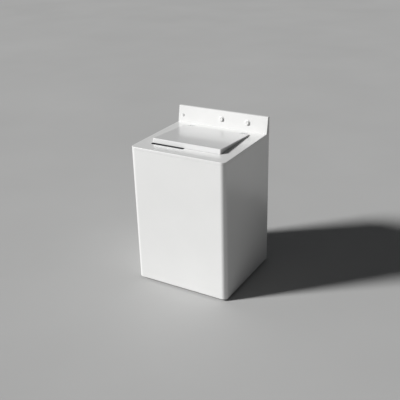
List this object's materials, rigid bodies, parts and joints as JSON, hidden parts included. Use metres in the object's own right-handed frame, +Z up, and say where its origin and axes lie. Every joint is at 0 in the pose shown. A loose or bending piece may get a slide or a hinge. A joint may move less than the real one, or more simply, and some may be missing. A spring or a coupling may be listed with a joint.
{
  "type": "top load washing machine",
  "caption": "White top load washing machine with a wedge lid, leaning rear console, hung tub, spinning basket and agitator.",
  "frame": {"origin": "middle of the footprint at floor level, under the feet", "axes": "+Z up, front towards -Y, +X to the right of a person facing the front"},
  "size_m": [0.686, 0.632, 1.082],
  "materials": {
    "white_enamel": "gloss white enamel on pressed steel",
    "white_plastic": "satin gloss white moulding",
    "grey_plastic": "matte grey moulding",
    "dark_plastic": "matte dark moulding",
    "galvanised": "galvanised sheet",
    "stainless": "fine brushed stainless",
    "cast_alloy": "as-cast alloy",
    "spring_steel": "bright drawn steel",
    "black_rubber": "moulded rubber"
  },
  "bodies": {
    "cabinet": {"cabinet_wrap": "white_enamel", "rear_panel": "galvanised", "base_frame": "galvanised", "top_deck": "white_enamel", "lid_switch": "dark_plastic", "console_shell": "white_plastic", "console_back_cover": "galvanised", "cycle_timer": "dark_plastic", "pressure_switch": "grey_plastic", "start_switch": "dark_plastic", "inlet_valve": "grey_plastic", "fill_hose": "black_rubber", "fill_spout": "grey_plastic", "drain_port": "grey_plastic", "cord_gland": "dark_plastic", "rear_frame": "galvanised", "rear_valve_plate": "galvanised", "lid_bumper": "black_rubber", "lid_hinge_bracket_left": "stainless", "lid_hinge_pin_left": "spring_steel", "lid_hinge_bracket_right": "stainless", "lid_hinge_pin_right": "spring_steel", "suspension_rod_front_left": "spring_steel", "suspension_spring_front_left": "spring_steel", "suspension_rod_front_right": "spring_steel", "suspension_spring_front_right": "spring_steel", "suspension_rod_rear_left": "spring_steel", "suspension_spring_rear_left": "spring_steel", "suspension_rod_rear_right": "spring_steel", "suspension_spring_rear_right": "spring_steel"},
    "lid": {"lid": "white_enamel", "lid_liner": "white_plastic"},
    "cycle_knob": {"cycle_knob": "white_plastic", "cycle_shaft": "spring_steel"},
    "level_knob": {"level_knob": "white_plastic", "level_shaft": "spring_steel"},
    "start_button": {"start_button": "white_plastic"},
    "tub": {"outer_tub": "white_plastic", "tub_ring": "white_plastic", "tub_bearing": "spring_steel", "tub_seal": "black_rubber", "gearcase": "cast_alloy", "motor_plate": "galvanised", "motor": "cast_alloy", "drive_belt": "black_rubber", "drain_pump": "dark_plastic", "pump_hose": "black_rubber"},
    "basket": {"basket": "white_enamel", "balance_ring": "white_plastic", "basket_hub": "cast_alloy", "spin_tube": "spring_steel"},
    "agitator": {"agitator": "white_plastic", "agitator_cap": "grey_plastic", "drive_shaft": "spring_steel"},
    "drive_pulley": {"drive_pulley": "cast_alloy"},
    "motor_pulley": {"motor_pulley": "cast_alloy"},
    "foot_front_left": {"leveling_foot_front_left": "black_rubber"},
    "foot_front_right": {"leveling_foot_front_right": "black_rubber"},
    "foot_rear_left": {"leveling_foot_rear_left": "black_rubber"},
    "foot_rear_right": {"leveling_foot_rear_right": "black_rubber"}
  },
  "joints": [
    {"name": "lid_hinge", "type": "hinge", "parent": "cabinet", "child": "lid", "pos_m": [0, 0.2048, 0.9742], "axis": [-1, 0, 0], "range_deg": [0, 100]},
    {"name": "cycle_knob_turn", "type": "hinge", "parent": "cabinet", "child": "cycle_knob", "pos_m": [0.195, 0.28636, 1.028], "axis": [0, -0.9844, 0.1758], "continuous": true},
    {"name": "level_knob_turn", "type": "hinge", "parent": "cabinet", "child": "level_knob", "pos_m": [-0.002, 0.28636, 1.028], "axis": [0, -0.9844, 0.1758], "range_deg": [-135, 135]},
    {"name": "start_button_press", "type": "slide", "parent": "cabinet", "child": "start_button", "axis": [0, 0.9844, -0.1758], "range_m": [0, 0.003], "stiffness_N_per_m": 400, "springref_m": -0.001},
    {"name": "tub_bounce", "type": "slide", "parent": "cabinet", "child": "tub", "axis": [0, 0, 1], "range_m": [-0.02, 0.008], "stiffness_N_per_m": 24000, "springref_m": 0.01361, "deforming": ["suspension_spring_front_left", "suspension_spring_front_right", "suspension_spring_rear_left", "suspension_spring_rear_right"]},
    {"name": "basket_spin", "type": "hinge", "parent": "tub", "child": "basket", "pos_m": [0, -0.006, 0.3], "axis": [0, 0, 1], "continuous": true},
    {"name": "agitator_turn", "type": "hinge", "parent": "basket", "child": "agitator", "pos_m": [0, -0.006, 0.3], "axis": [0, 0, 1], "range_deg": [-105, 105]},
    {"name": "drive_pulley_turn", "type": "hinge", "parent": "tub", "child": "drive_pulley", "pos_m": [0, -0.006, 0.157], "axis": [0, 0, 1], "continuous": true},
    {"name": "motor_pulley_turn", "type": "hinge", "parent": "tub", "child": "motor_pulley", "pos_m": [-0.155, 0.048, 0.157], "axis": [0, 0, 1], "continuous": true},
    {"name": "foot_screw_front_left", "type": "slide", "parent": "cabinet", "child": "foot_front_left", "axis": [0, 0, -1], "range_m": [0, 0.012]},
    {"name": "foot_screw_front_right", "type": "slide", "parent": "cabinet", "child": "foot_front_right", "axis": [0, 0, -1], "range_m": [0, 0.012]},
    {"name": "foot_screw_rear_left", "type": "slide", "parent": "cabinet", "child": "foot_rear_left", "axis": [0, 0, -1], "range_m": [0, 0.012]},
    {"name": "foot_screw_rear_right", "type": "slide", "parent": "cabinet", "child": "foot_rear_right", "axis": [0, 0, -1], "range_m": [0, 0.012]}
  ],
  "couplings": [
    {"joint": "drive_pulley_turn", "follows": "basket_spin", "ratio": 1},
    {"joint": "motor_pulley_turn", "follows": "basket_spin", "ratio": 3.75}
  ]
}
